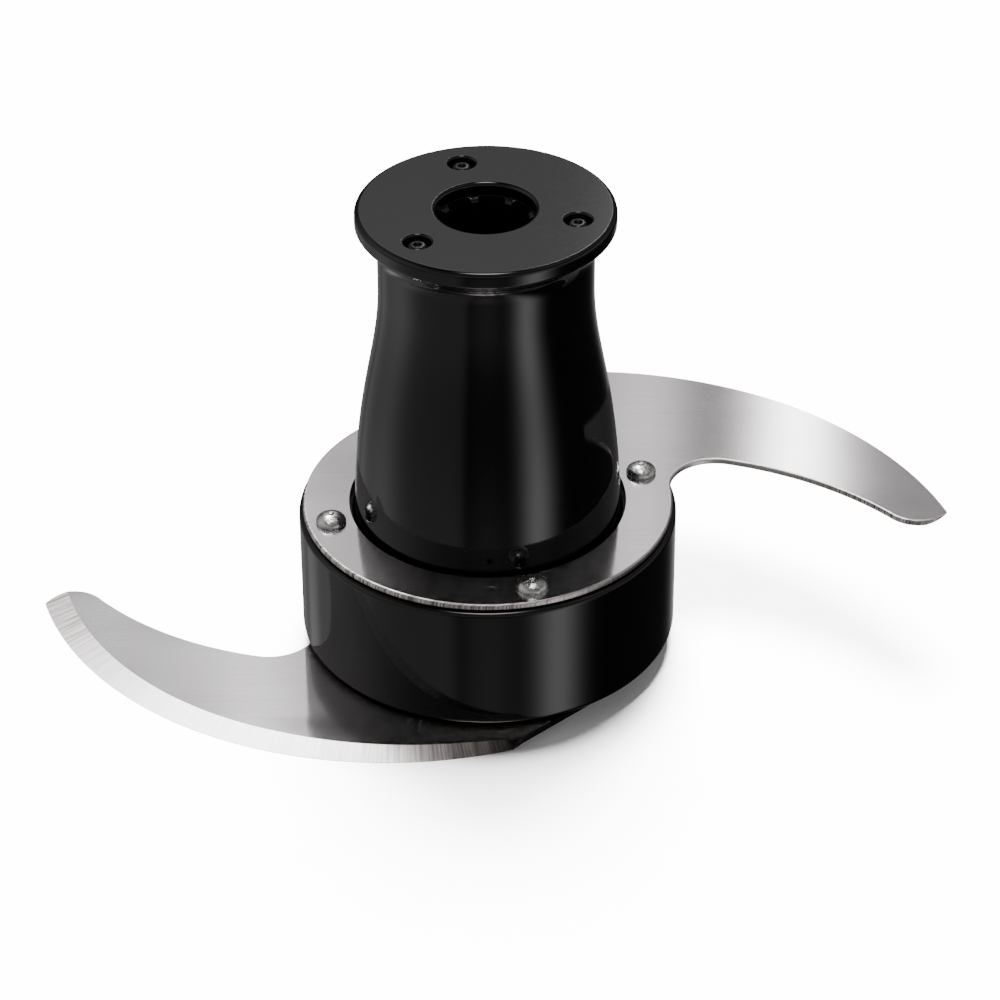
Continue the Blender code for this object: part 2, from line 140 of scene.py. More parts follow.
class KnifeColours(bpy.types.PropertyGroup):
    """Base colours of the knife's finishes"""

    plastic: finish_colour(
        "Hub plastic", "Colour of the glossy hub and collar", 0.0035, 0.0033, 0.0034
    )
    socket: finish_colour("Socket plastic", "Colour of the drive socket", 0.006, 0.006, 0.006)
    steel: finish_colour("Blade steel", "Colour of the satin blades", 0.60, 0.578, 0.585)
    ground: finish_colour("Ground steel", "Colour of the ground bevels", 0.80, 0.78, 0.77)
    rivet: finish_colour("Rivet steel", "Colour of the polished rivets", 0.70, 0.70, 0.69)
    screw: finish_colour("Screws", "Colour of the blackened screws", 0.004, 0.004, 0.004)
    rubber: finish_colour("Seal rubber", "Colour of the rubber seals", 0.012, 0.012, 0.012)


# Steps round a full turn
HUB_STEPS = 224
COLLAR_STEPS = 256
SOCKET_STEPS = 320

# Gaps and the strips that keep the shading of a rounding off the flat face beside it
JOINT_GAP = 0.02 * MM
HOLD = 0.04 * MM

# Sleeve. A pull is how far the taper's curve follows the straight end it leaves
COVE_SWEEP = 60.0
COVE_STEPS = 20
TAPER_STEPS = 72
TAPER_TOP_PULL = 16.3 * MM
TAPER_FOOT_PULL = 32.4 * MM
FLANGE_HEIGHT = 2.6 * MM
FOOT_EDGE = 0.4 * MM

# Cap and its screws
SCREW_ANGLES = (105.0, 225.0, 345.0)
RECESS_R = 2.55 * MM
RECESS_DEPTH = 2.2 * MM
RECESS_LIP = 0.45 * MM
RECESS_CORNER = 0.2 * MM
PILOT_R = 1.2 * MM
BORE_CHAMFER = 0.3 * MM
SCREW_HEAD = 1.3 * MM
SCREW_HEAD_R = 2.15 * MM
SCREW_SHANK_R = 0.95 * MM
SCREW_POINT = 0.8 * MM
DRIVE_HOLE_R = 0.62 * MM
DRIVE_HOLE_DEPTH = 0.5 * MM

# Drive socket, its ribs and its bush. Rib widths are in degrees of the bore
SOCKET_BODY_R = 13.6 * MM
SOCKET_FLANGE = 2.0 * MM
SOCKET_CHAMFER = 0.5 * MM
SEAT_R = 11.9 * MM
SEAT_DEPTH = 6.6 * MM
SPIGOT_R = 9.22 * MM
SPIGOT_HEIGHT = 1.2 * MM
RIB_ROOT_R = 9.15 * MM
RIB_TIP_R = 8.05 * MM
RIB_COUNT = 8
RIB_PHASE = 14.5
RIB_WIDTH = 13.0
RIB_FLANK = 4.0
RIB_NOSE = 1.3 * MM
BORE_MOUTH = 0.3 * MM
SPIGOT_LIP = 0.05 * MM
BUSH_INNER_R = 9.8 * MM
BUSH_EDGE = 0.35 * MM

# Seals
SEAL_WIDTHS = {"neck_seal": 1.0 * MM, "sleeve_seal": 1.15 * MM, "foot_seal": 1.1 * MM}
SEAL_EDGE_SHARE = 0.3

# Collar
COLLAR_TOP_EDGE = 0.9 * MM
COLLAR_FOOT_EDGE = 1.5 * MM
SEAL_GROOVE = 0.8 * MM
SEAL_GROOVE_DEPTH = 1.7 * MM
FLANGE_SEAT_R = 28.1 * MM
FLANGE_SEAT_DEPTH = 4.2 * MM
SLEEVE_CLEARANCE = 0.3 * MM

# Blades, with the arm towards -X and the hub's axis at the origin
LOWER_RING_R = 34.4 * MM
UPPER_RING_R = 36.2 * MM
RIVET_ANGLES = (15.5, 105.5, 195.5, 285.5)
EDGE_CENTRE = (-19.0 * MM, 27.6 * MM)
EDGE_R = 73.8 * MM
EDGE_END = -71.2
BACK_CENTRE = (-30.5 * MM, 49.0 * MM)
BACK_R = 64.2 * MM
END_R = 7.0 * MM
END_REACH = 69.77 * MM
CORNER_R = 0.5 * MM
NOTCH_R = 9.2 * MM
UPPER_HOLE_R = 27.05 * MM
LOWER_HOLE_R = 26.6 * MM
PEEP_PLACE = (30.9 * MM, 271.0)
PEEP_R = 0.9 * MM
RIVET_HOLE_R = 1.8 * MM
HOLE_CHAMFER = 0.09 * MM
ARM_SIDE = 12.0 * MM  # the arm lies below this in both X and Y
GRIND_RUN_OUT = 36.0  # degrees over which the ground face narrows towards the ring
BEVEL_ROWS = (0.0, 0.02, 0.15, 0.3, 0.45, 0.6, 0.75, 0.9, 0.985, 1.0)

# Rivets and their spacer tubes
DOME_START = 74.0
DOME_BASE = 0.35 * MM
STUB_R = 0.35 * MM
STUB_HEIGHT = 0.3 * MM
SHANK_R = 1.45 * MM
TAIL_R = 2.3 * MM
TAIL_HEIGHT = 1.2 * MM
TAIL_EDGE = 0.7 * MM
SPACER_INNER_R = 1.75 * MM
SPACER_OUTER_R = 2.6 * MM
SPACER_EDGE = 0.15 * MM


# ---------------------------------------------------------------- curves


def arc(centre, radius, start, end, count):
    """Points centre + radius * (cos a, sin a), with a running evenly between two angles."""
    angle = np.radians(np.linspace(start, end, count + 1))
    return np.column_stack(
        (centre[0] + radius * np.cos(angle), centre[1] + radius * np.sin(angle))
    )


def circle(centre, radius, count):
    """A closed ring of points, anticlockwise."""
    return arc(centre, radius, 0.0, 360.0, count)[:-1]


def path(*pieces):
    """Joins points and runs of points into one run."""
    return np.vstack([np.atleast_2d(np.asarray(piece, dtype=float)) for piece in pieces])


def with_holding_points(run, closed=True, reach=0.03 * MM, shortest=0.6 * MM):
    """Adds a point close to both ends of each long straight stretch of a profile.

    The shading of a rounded corner then can't spread over the flat beside it.
    """
    nxt = np.roll(run, -1, axis=0)
    step = nxt - run
    span = np.hypot(step[:, 0], step[:, 1])
    long = span > shortest
    if not closed:
        long[-1] = False
    unit = step / np.maximum(span, 1e-12)[:, None]
    out = []
    for i, point in enumerate(run):
        out.append(point)
        if long[i]:
            out.append(point + unit[i] * reach)
            out.append(nxt[i] - unit[i] * reach)
    return np.array(out)


def bezier(p0, p1, p2, p3, count):
    """Cubic Bernstein sum of four points at even steps of t from 0 to 1."""
    t = np.linspace(0.0, 1.0, count + 1)[:, None]
    s = 1.0 - t
    p0, p1, p2, p3 = (np.array(p, dtype=float) for p in (p0, p1, p2, p3))
    return s**3 * p0 + 3 * s * s * t * p1 + 3 * s * t * t * p2 + t**3 * p3


def bearing(centre, point):
    """Angle of a point seen from a centre, in degrees."""
    return np.degrees(atan2(point[1] - centre[1], point[0] - centre[0]))


def meet(centre_a, radius_a, centre_b, radius_b, side):
    """Where two circles cross, on the left (1) or right (-1) of the line from a to b."""
    a = np.array(centre_a)
    line = np.array(centre_b) - a
    apart = hypot(*line)
    along = (apart**2 + radius_a**2 - radius_b**2) / (2.0 * apart)
    across = side * (radius_a**2 - along**2) ** 0.5
    unit = line / apart
    return a + along * unit + across * np.array((-unit[1], unit[0]))


# ---------------------------------------------------------------- meshes


class Shape:
    """Points, faces and a finish number for each face, gathered before they make a mesh."""

    def __init__(self):
        self.points = []
        self.faces = []
        self.finish = []
        self.count = 0

    def add(self, points, faces, finish=0):
        points = np.asarray(points, dtype=float)
        self.points.append(points)
        self.faces += [tuple(int(i) + self.count for i in face) for face in faces]
        self.finish += [finish] * len(faces)
        self.count += len(points)

    def grid(self, rows, closed_rows=False, closed_columns=True, finish=0):
        """Quads between neighbouring rows of equally many points, rows x columns x 3."""
        rows = np.asarray(rows, dtype=float)
        n, m = rows.shape[:2]
        i, j = np.meshgrid(
            np.arange(n if closed_rows else n - 1),
            np.arange(m if closed_columns else m - 1),
            indexing="ij",
        )
        i2, j2 = (i + 1) % n, (j + 1) % m
        quads = np.stack((i * m + j, i * m + j2, i2 * m + j2, i2 * m + j), axis=-1)
        self.add(rows.reshape(-1, 3), quads.reshape(-1, 4), finish)

    def turn(self, profile, steps, centre=(0.0, 0.0), closed=False):
        """Turns a profile of (radius, height) about an upright axis.

        A point is (cx + r cos a, cy + r sin a, z). The profile runs with the solid on its
        right when radius is drawn to the right and height upwards.
        """
        a = np.linspace(0.0, TAU, steps, endpoint=False)
        r, z = profile[:, 0][:, None], profile[:, 1][:, None]
        x, y = centre[0] + r * np.cos(a), centre[1] + r * np.sin(a)
        rows = np.stack((x, y, z + 0.0 * a), axis=-1)
        self.grid(rows[::-1], closed_rows=closed)

    def fill(self, loops, height, up=True):
        """A flat face at one height inside the first loop and outside the others."""
        loops = [np.column_stack((loop, np.full(len(loop), height))) for loop in loops]
        triangles = np.array(tessellate_polygon([[Vector(p) for p in loop] for loop in loops]))
        points = np.vstack(loops)
        a, b, c = (points[triangles[:, k]] for k in range(3))
        area = np.cross(b - a, c - a)[:, 2]
        wrong = area < 0 if up else area > 0
        triangles[wrong] = triangles[wrong][:, ::-1]
        self.add(points, triangles[np.abs(area) > 0.0])

    def mesh(self, name, sharp=35.0, merge=0.2e-6):
        """Joins points that meet, and marks edges that turn more than an angle as sharp."""
        data = bpy.data.meshes.new(name)
        data.from_pydata(np.vstack(self.points).tolist(), [], self.faces)
        data.polygons.foreach_set("material_index", np.array(self.finish, dtype=np.int32))
        shape = bmesh.new()
        shape.from_mesh(data)
        bmesh.ops.remove_doubles(shape, verts=shape.verts, dist=merge)
        shape.to_mesh(data)
        shape.free()
        data.shade_smooth()
        data.set_sharp_from_angle(angle=radians(sharp))
        return data


def place(name, data, materials, replaced):
    """Adds a finished piece, which rides on the hub's one body and stands for CAD nodes."""
    piece = bpy.data.objects.new(name, data)
    bpy.context.scene.collection.objects.link(piece)
    for material in materials:
        data.materials.append(material)
    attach(piece, "root")
    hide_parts(*replaced)


# ---------------------------------------------------------------- materials


class Nodes:
    """A short way to write a material's node tree."""

    def __init__(self, name):
        self.material = bpy.data.materials.get(name) or bpy.data.materials.new(name)
        self.material.use_nodes = True
        self.tree = self.material.node_tree
        self.tree.nodes.clear()
        self.out = self.node("ShaderNodeOutputMaterial")
        self.shader = self.node("ShaderNodeBsdfPrincipled")
        self.link(self.shader, "BSDF", self.out, "Surface")

    def node(self, kind, **settings):
        item = self.tree.nodes.new(kind)
        for key, value in settings.items():
            setattr(item, key, value)
        return item

    def link(self, source, output, target, entry):
        self.tree.links.new(source.outputs[output], target.inputs[entry])

    def value(self, target, **values):
        for key, value in values.items():
            target.inputs[key.replace("_", " ")].default_value = value

    def coordinates(self, scale=(1.0, 1.0, 1.0), uv=None):
        """Object coordinates, or a named UV map, stretched along its axes."""
        if uv:
            source, output = self.node("ShaderNodeUVMap", uv_map=uv), "UV"
        else:
            source, output = self.node("ShaderNodeTexCoord"), "Object"
        mapping = self.node("ShaderNodeMapping")
        self.link(source, output, mapping, "Vector")
        mapping.inputs["Scale"].default_value = scale
        return mapping

    def noise(self, mapping, scale, detail=3.0, rough=0.5):
        noise = self.node("ShaderNodeTexNoise")
        self.link(mapping, "Vector", noise, "Vector")
        self.value(noise, Scale=scale, Detail=detail, Roughness=rough)
        return noise

    def ramp(self, source, low, high, output="Fac", start=0.0, end=1.0):
        """Maps a value range to another range."""
        item = self.node("ShaderNodeMapRange")
        self.link(source, output, item, "Value")
        self.value(item, From_Min=start, From_Max=end, To_Min=low, To_Max=high)
        return item

    def colours(self, source, stops, output="Fac"):
        """Turns a value into a colour between the stops, each a position and a colour."""
        item = self.node("ShaderNodeValToRGB")
        self.link(source, output, item, "Fac")
        ramp = item.color_ramp
        while len(ramp.elements) < len(stops):
            ramp.elements.new(0.5)
        for element, (position, colour) in zip(ramp.elements, stops):
            element.position = position
            element.color = colour
        return item

    def mix(self, first, second, factor=1.0, kind="MULTIPLY"):
        """Mixes two colours. Each entry is another node's socket or a value."""
        item = self.node("ShaderNodeMix", data_type="RGBA", blend_type=kind)
        entry = {socket.identifier: socket for socket in item.inputs}
        values = {"A_Color": first, "B_Color": second, "Factor_Float": factor}
        for key, value in values.items():
            if isinstance(value, bpy.types.NodeSocket):
                self.tree.links.new(value, entry[key])
            else:
                entry[key].default_value = value
        return {socket.identifier: socket for socket in item.outputs}["Result_Color"]

    def base_colour(self, socket):
        self.tree.links.new(socket, self.shader.inputs["Base Color"])

    def bump(self, source, distance, strength, before=None):
        """Relief from a noise, laid over an earlier bump when there is one."""
        item = self.node("ShaderNodeBump")
        self.link(source, "Fac", item, "Height")
        self.value(item, Distance=distance, Strength=strength)
        if before:
            self.link(before, "Normal", item, "Normal")
        return item


def shade(colour, factor):
    """A colour made darker or lighter."""
    return (*(min(1.0, c * factor) for c in colour[:3]), 1.0)


def grey(value):
    return (value, value, value, 1.0)


def hub_plastic(colour):
    """Glossy black moulding: faint flow marks, fine dust and a very slight waviness."""
    n = Nodes("hub_plastic")
    flow = n.noise(n.coordinates((1.0, 1.0, 0.35)), 60.0, 2.0)
    tone = n.colours(flow, ((0.3, shade(colour, 0.85)), (0.75, shade(colour, 1.5))))
    n.link(tone, "Color", n.shader, "Base Color")
    wear = n.noise(n.coordinates(), 900.0, 4.0, 0.6)
    n.link(n.ramp(wear, 0.05, 0.11, start=0.35, end=0.75), "Result", n.shader, "Roughness")
    wave = n.bump(n.noise(n.coordinates((1.0, 1.0, 0.5)), 45.0, 1.0), 0.00004, 0.25)
    grain = n.bump(n.noise(n.coordinates(), 2600.0, 2.0), 0.000004, 0.25, before=wave)
    n.link(grain, "Normal", n.shader, "Normal")
    n.value(n.shader, IOR=1.49, Specular_IOR_Level=0.5)
    return n.material


def socket_plastic(colour):
    """Plain moulding inside the hub: a little duller, with a fine spark-eroded grain."""
    n = Nodes("socket_plastic")
    grain = n.noise(n.coordinates(), 3000.0, 3.0)
    tone = n.colours(grain, ((0.3, shade(colour, 0.9)), (0.7, shade(colour, 1.8))))
    n.link(tone, "Color", n.shader, "Base Color")
    n.link(n.ramp(grain, 0.12, 0.26), "Result", n.shader, "Roughness")
    n.link(n.bump(grain, 0.00001, 0.4), "Normal", n.shader, "Normal")
    return n.material


def satin_steel(colour):
    """Satin stainless sheet: straight brush lines along X and soft cloudy patches."""
    n = Nodes("satin_steel")
    fine = n.noise(n.coordinates((6.0, 700.0, 700.0)), 6.0, 5.0, 0.65)
    cloud = n.noise(n.coordinates((1.0, 1.6, 1.0)), 32.0, 2.0, 0.45)
    tone = n.colours(cloud, ((0.35, shade(colour, 0.93)), (0.7, shade(colour, 1.06))))
    lines = n.colours(fine, ((0.3, grey(0.88)), (0.7, grey(1.0))))
    n.base_colour(n.mix(tone.outputs["Color"], lines.outputs["Color"]))
    n.link(n.ramp(cloud, 0.10, 0.145), "Result", n.shader, "Roughness")
    n.link(n.bump(fine, 0.000001, 0.2), "Normal", n.shader, "Normal")
    tangent = n.node("ShaderNodeTangent", direction_type="UV_MAP", uv_map="brushing")
    n.link(tangent, "Tangent", n.shader, "Tangent")
    n.value(n.shader, Metallic=1.0, Anisotropic=1.0)
    return n.material


def ground_steel(colour):
    """Ground bevel: matt, with wheel scratches across the band.

    They are deepest near both ends. Next to the ring the bevel is painted almost black, a
    painted shadow that stands in for the collar's shadow. X of the grinding map is the length
    along the cutting edge in metres.
    """
    n = Nodes("ground_steel")
    fine = n.noise(n.coordinates((2400.0, 20.0, 1.0), uv="grinding"), 1.0, 5.0, 0.75)
    coarse = n.noise(n.coordinates((900.0, 60.0, 1.0), uv="grinding"), 1.0, 3.0, 0.6)
    patch = n.noise(n.coordinates((30.0, 4.0, 1.0), uv="grinding"), 1.0, 2.0, 0.5)
    tone = n.colours(coarse, ((0.36, shade(colour, 0.5)), (0.54, shade(colour, 1.0))))
    lines = n.colours(fine, ((0.40, (0.36, 0.31, 0.31, 1.0)), (0.54, grey(1.0))))
    scratched = n.mix(tone.outputs["Color"], lines.outputs["Color"])
    along = n.node("ShaderNodeSeparateXYZ")
    n.link(n.coordinates(uv="grinding"), "Vector", along, "Vector")
    depth = n.colours(
        n.ramp(along, 0.0, 1.0, output="X", start=0.25, end=0.375),
        ((0.08, grey(1.0)), (0.3, grey(0.2)), (0.6, grey(0.2)), (0.95, grey(1.0))),
        output="Result",
    )
    # Painted shadow of the collar: the colour darkens almost to black next to the ring
    painted_collar_shadow = n.colours(
        n.ramp(along, 0.0, 1.0, output="X", start=0.345, end=0.435),
        (
            (0.04, grey(1.0)),
            (0.11, (0.4, 0.38, 0.37, 1.0)),
            (0.18, (0.12, 0.115, 0.11, 1.0)),
            (0.27, (0.03, 0.029, 0.029, 1.0)),
            (0.6, (0.03, 0.029, 0.029, 1.0)),
            (0.85, grey(1.0)),
        ),
        output="Result",
    )
    ground = n.mix(shade(colour, 0.97), scratched, depth.outputs["Color"], "MIX")
    # The painted collar shadow is multiplied into the ground colour
    n.base_colour(n.mix(ground, painted_collar_shadow.outputs["Color"]))
    n.link(n.ramp(patch, 0.38, 0.44), "Result", n.shader, "Roughness")
    first = n.bump(coarse, 0.00002, 0.5)
    second = n.bump(fine, 0.00001, 0.5, before=first)
    n.link(second, "Normal", n.shader, "Normal")
    n.value(n.shader, Metallic=1.0)
    return n.material


def rivet_steel(colour):
    """Polished rivet with hammer marks and faint scuffs."""
    n = Nodes("rivet_steel")
    scuff = n.noise(n.coordinates(), 1500.0, 4.0, 0.6)
    tone = n.colours(scuff, ((0.3, shade(colour, 0.75)), (0.65, shade(colour, 1.0))))
    n.link(tone, "Color", n.shader, "Base Color")
    n.link(n.ramp(scuff, 0.16, 0.38), "Result", n.shader, "Roughness")
    dents = n.bump(n.noise(n.coordinates(), 700.0, 1.5), 0.0003, 0.6)
    n.link(dents, "Normal", n.shader, "Normal")
    n.value(n.shader, Metallic=1.0)
    return n.material


def black_screw(colour):
    """Blackened screw head with worn high spots."""
    n = Nodes("black_screw")
    worn = n.noise(n.coordinates(), 1400.0, 3.0, 0.6)
    tone = n.colours(worn, ((0.35, shade(colour, 1.0)), (0.75, shade(colour, 3.0))))
    n.link(tone, "Color", n.shader, "Base Color")
    n.link(n.ramp(worn, 0.12, 0.3), "Result", n.shader, "Roughness")
    n.link(n.bump(worn, 0.00004, 0.3), "Normal", n.shader, "Normal")
    return n.material


def seal_rubber(colour):
    """Matt black rubber with a fine grain."""
    n = Nodes("seal_rubber")
    grain = n.noise(n.coordinates(), 2500.0, 3.0)
    tone = n.colours(grain, ((0.3, shade(colour, 0.8)), (0.7, shade(colour, 1.4))))
    n.link(tone, "Color", n.shader, "Base Color")
    n.link(n.ramp(grain, 0.45, 0.62), "Result", n.shader, "Roughness")
    n.link(n.bump(grain, 0.00002, 0.4), "Normal", n.shader, "Normal")
    return n.material


def stage_floor():
    """Pale floor, even all over, with the faintest tooth."""
    n = Nodes("stage_floor")
    tooth = n.noise(n.coordinates(), 90.0, 2.0)
    tone = n.colours(tooth, ((0.3, grey(0.93)), (0.7, grey(0.95))))
    n.link(tone, "Color", n.shader, "Base Color")
    n.value(n.shader, Roughness=0.9, Specular_IOR_Level=0.0)
    return n.material


# ---------------------------------------------------------------- pieces


def sizes():
    return bpy.context.scene.knife_sizes


def colours():
    return bpy.context.scene.knife_colours


def collar_foot():
    return float(COLLAR_LOW[2])


def sleeve_profile():
    """Outer side of the sleeve, top to bottom: cove, straight neck, taper, straight end.

    The cove is part of a circle. The taper is a cubic Bezier curve that leaves the neck
    and joins the wide end upright.
    """
    s = sizes()
    base = collar_foot()
    top = float(CAP_LOW[2]) - JOINT_GAP
    cove = s.cove_radius
    centre = (s.neck_radius + cove, top - cove * sin(radians(COVE_SWEEP)))
    high, low = base + s.taper_top, base + s.taper_foot
    taper = bezier(
        (s.neck_radius, high),
        (s.neck_radius, high - TAPER_TOP_PULL),
        (s.sleeve_radius, low + TAPER_FOOT_PULL),
        (s.sleeve_radius, low),
        TAPER_STEPS,
    )
    return path(arc(centre, cove, 180.0 - COVE_SWEEP, 180.0, COVE_STEPS), taper)


class KNIFE_OT_hub_sleeve(bpy.types.Operator):
    """Build the hub's tapered sleeve with its wall and foot flange"""

    bl_idname = "knife.hub_sleeve"
    bl_label = "Hub sleeve"

    def execute(self, context):
        s = sizes()
        base = collar_foot()
        foot = float(SLEEVE_LOW[2])
        top = float(CAP_LOW[2]) - JOINT_GAP
        flange_r = float(SLEEVE_HIGH[0])
        flange_top = base + FLANGE_HEIGHT
        edge = FOOT_EDGE
        outer = sleeve_profile()
        skirt = path(
            (s.sleeve_radius, flange_top),
            (flange_r, flange_top),
            (flange_r, base),
            (s.sleeve_radius, base),
            arc((s.sleeve_radius - edge, foot + edge), edge, 0.0, -90.0, 6),
            arc((s.sleeve_radius - s.sleeve_wall + edge, foot + edge), edge, 270.0, 180.0, 6),
        )
        inner = outer[COVE_STEPS:][::-1] - np.array((s.sleeve_wall, 0.0))
        rim = (s.neck_radius - s.sleeve_wall, top)
        profile = with_holding_points(path(outer, skirt, inner, rim))
        shape = Shape()
        shape.turn(profile, HUB_STEPS, closed=True)
        data = shape.mesh("hub_sleeve_surface")
        plastic = [hub_plastic(colours().plastic)]
        place("sleeve_surface", data, plastic, ["hub_sleeve"])
        return {"FINISHED"}


class KNIFE_OT_hub_cap(bpy.types.Operator):
    """Build the cap with its rounded rim, bore lip and three screw recesses"""

    bl_idname = "knife.hub_cap"
    bl_label = "Hub cap"

    def execute(self, context):
        s = sizes()
        top, foot = float(CAP_HIGH[2]), float(CAP_LOW[2])
        rim_r = float(CAP_HIGH[0])
        edge, lip = s.cap_edge, s.bore_lip
        outer_flat = rim_r - edge - HOLD
        inner_flat = s.bore_radius + lip + HOLD
        profile = path(
            (outer_flat, top),
            arc((rim_r - edge, top - edge), edge, 90.0, 0.0, 14),
            arc((rim_r - edge, foot + edge), edge, 0.0, -90.0, 14),
            (s.bore_radius + BORE_CHAMFER, foot),
            (s.bore_radius, foot + BORE_CHAMFER),
            arc((s.bore_radius + lip, top - lip), lip, 180.0, 90.0, 16),
            (inner_flat, top),
        )
        shape = Shape()
        shape.turn(with_holding_points(profile, closed=False), HUB_STEPS)
        patch_r = RECESS_R + RECESS_LIP + HOLD
        recess = path(
            (patch_r, top),
            arc((RECESS_R + RECESS_LIP, top - RECESS_LIP), RECESS_LIP, 90.0, 180.0, 8),
            (RECESS_R, top - RECESS_DEPTH + RECESS_CORNER),
            (RECESS_R - RECESS_CORNER, top - RECESS_DEPTH),
            (PILOT_R, top - RECESS_DEPTH),
            (PILOT_R, foot),
            (0.0, foot),
        )
        loops = [circle((0.0, 0.0), radius, HUB_STEPS) for radius in (outer_flat, inner_flat)]
        for angle in SCREW_ANGLES:
            centre = arc((0.0, 0.0), s.screw_pitch, angle, angle, 0)[0]
            loops.append(circle(centre, patch_r, 64))
            shape.turn(recess[::-1], 64, centre=centre)
        shape.fill(loops, top)
        data = shape.mesh("hub_cap_surface")
        plastic = [hub_plastic(colours().plastic)]
        place("cap_surface", data, plastic, ["hub_cap"])
        return {"FINISHED"}


class KNIFE_OT_cap_screws(bpy.types.Operator):
    """Build the three domed screws that hold the cap"""

    bl_idname = "knife.cap_screws"
    bl_label = "Cap screws"

    def execute(self, context):
        s = sizes()
        steel = [black_screw(colours().screw)]
        for number, angle in enumerate(SCREW_ANGLES, start=1):
            low, high = node_box(f"cap_screw_{number}")
            centre = arc((0.0, 0.0), s.screw_pitch, angle, angle, 0)[0]
            top = float(high[2])
            head = top - SCREW_HEAD
            profile = path(
                (0.0, top - DRIVE_HOLE_DEPTH),
                (DRIVE_HOLE_R, top - DRIVE_HOLE_DEPTH),
                (0.8 * MM, top - 0.05 * MM),
                arc((0.9 * MM, top - 0.08 * MM), 0.08 * MM, 160.0, 80.0, 4),
                arc((1.15 * MM, top - 0.95 * MM), 0.95 * MM, 80.0, 10.0, 9),
                (SCREW_HEAD_R, head + 0.15 * MM),
                (2.05 * MM, head),
                (SCREW_SHANK_R, head),
                (SCREW_SHANK_R, float(low[2]) + SCREW_POINT),
                (0.0, float(low[2])),
            )
            shape = Shape()
            shape.turn(profile, 48, centre=centre)
            data = shape.mesh(f"cap_screw_surface_{number}")
            node = [f"cap_screw_{number}"]
            place(f"screw_surface_{number}", data, steel, node)
        return {"FINISHED"}


def ribbed_radius(angle):
    """Bore radius at an angle in degrees: the root, less a flat-topped bump at each rib.

    Each bump rises as u * u * (3 - 2 * u), where u runs from 0 to 1 up a rib's flank.
    """
    pitch = 360.0 / RIB_COUNT
    off = np.abs((angle - RIB_PHASE + pitch / 2.0) % pitch - pitch / 2.0)
    rise = np.clip((RIB_WIDTH / 2.0 + RIB_FLANK / 2.0 - off) / RIB_FLANK, 0.0, 1.0)
    return RIB_ROOT_R - (RIB_ROOT_R - RIB_TIP_R) * rise * rise * (3.0 - 2.0 * rise)


class KNIFE_OT_drive_socket(bpy.types.Operator):
    """Build the drive socket with eight round-nosed ribs in its bore, and its bush"""

    bl_idname = "knife.drive_socket"
    bl_label = "Drive socket"

    def execute(self, context):
        top, foot = float(SOCKET_HIGH[2]), float(SOCKET_LOW[2])
        flange_r = float(SOCKET_HIGH[0])
        seat_z, spigot_top = foot + SEAT_DEPTH, top + SPIGOT_HEIGHT
        angle = np.linspace(0.0, 360.0, SOCKET_STEPS, endpoint=False)
        turn = np.radians(angle)
        outer = path(
            (SPIGOT_R, spigot_top),
            (SPIGOT_R, top),
            (flange_r, top),
            (flange_r, top - SOCKET_FLANGE),
            (SOCKET_BODY_R, top - SOCKET_FLANGE),
            (SOCKET_BODY_R, foot + SOCKET_CHAMFER),
            (SOCKET_BODY_R - SOCKET_CHAMFER, foot),
            (SEAT_R, foot),
            (SEAT_R, seat_z),
        )
        ribs, bare = ribbed_radius(angle), np.full(SOCKET_STEPS, RIB_ROOT_R)

        def noses(end, way, swing):
            """Rows over a quarter turn t: ribs at sin t of their rise, 1 - cos t noses on."""
            return [
                (bare + (ribs - bare) * np.sin(t), end + way * RIB_NOSE * (1.0 - np.cos(t)))
                for t in swing
            ]

        rows = [
            (r * np.ones(SOCKET_STEPS), z) for r, z in with_holding_points(outer, closed=False)
        ]
        rows.append((bare + BORE_MOUTH, seat_z))
        rows += noses(seat_z + BORE_MOUTH, 1.0, np.linspace(0.0, pi / 2.0, 6))
        rows += noses(spigot_top - SPIGOT_LIP, -1.0, np.linspace(pi / 2.0, 0.0, 9))
        rows.append((bare + 0.03 * MM, spigot_top))
        grid = [
            np.column_stack((r * np.cos(turn), r * np.sin(turn), np.full(SOCKET_STEPS, z)))
            for r, z in rows
        ]
        shape = Shape()
        shape.grid(np.array(grid)[::-1], closed_rows=True)
        data = shape.mesh("drive_socket_surface", sharp=40.0)
        plastic = [socket_plastic(colours().socket)]
        place("socket_surface", data, plastic, ["drive_socket"])
        low, high = float(BUSH_LOW[2]), float(BUSH_HIGH[2])
        shape = Shape()
        run = rounded_ring(BUSH_INNER_R, float(BUSH_HIGH[0]), low, high, BUSH_EDGE)
        shape.turn(run, 128, closed=True)
        data = shape.mesh("drive_bush_surface")
        steel = [rivet_steel(colours().rivet)]
        place("bush_surface", data, steel, ["drive_bush"])
        return {"FINISHED"}


def rounded_ring(inner, outer, low, high, edge, count=6):
    """Section of a ring with four rounded corners, outer top corner first."""
    run = path(
        arc((outer - edge, high - edge), edge, 90.0, 0.0, count),
        arc((outer - edge, low + edge), edge, 0.0, -90.0, count),
        arc((inner + edge, low + edge), edge, 270.0, 180.0, count),
        arc((inner + edge, high - edge), edge, 180.0, 90.0, count),
    )
    return with_holding_points(run)


class KNIFE_OT_seals(bpy.types.Operator):
    """Build the three rubber seals"""

    bl_idname = "knife.seals"
    bl_label = "Seals"

    def execute(self, context):
        rubber = [seal_rubber(colours().rubber)]
        for name, width in SEAL_WIDTHS.items():
            low, high = node_box(name)
            outer = float(high[0])
            edge = SEAL_EDGE_SHARE * min(width, float(high[2] - low[2]))
            shape = Shape()
            run = rounded_ring(outer - width, outer, float(low[2]), float(high[2]), edge)
            shape.turn(run, 160, closed=True)
            data = shape.mesh(name + "_surface")
            place(name + "_surface", data, rubber, [name])
        return {"FINISHED"}


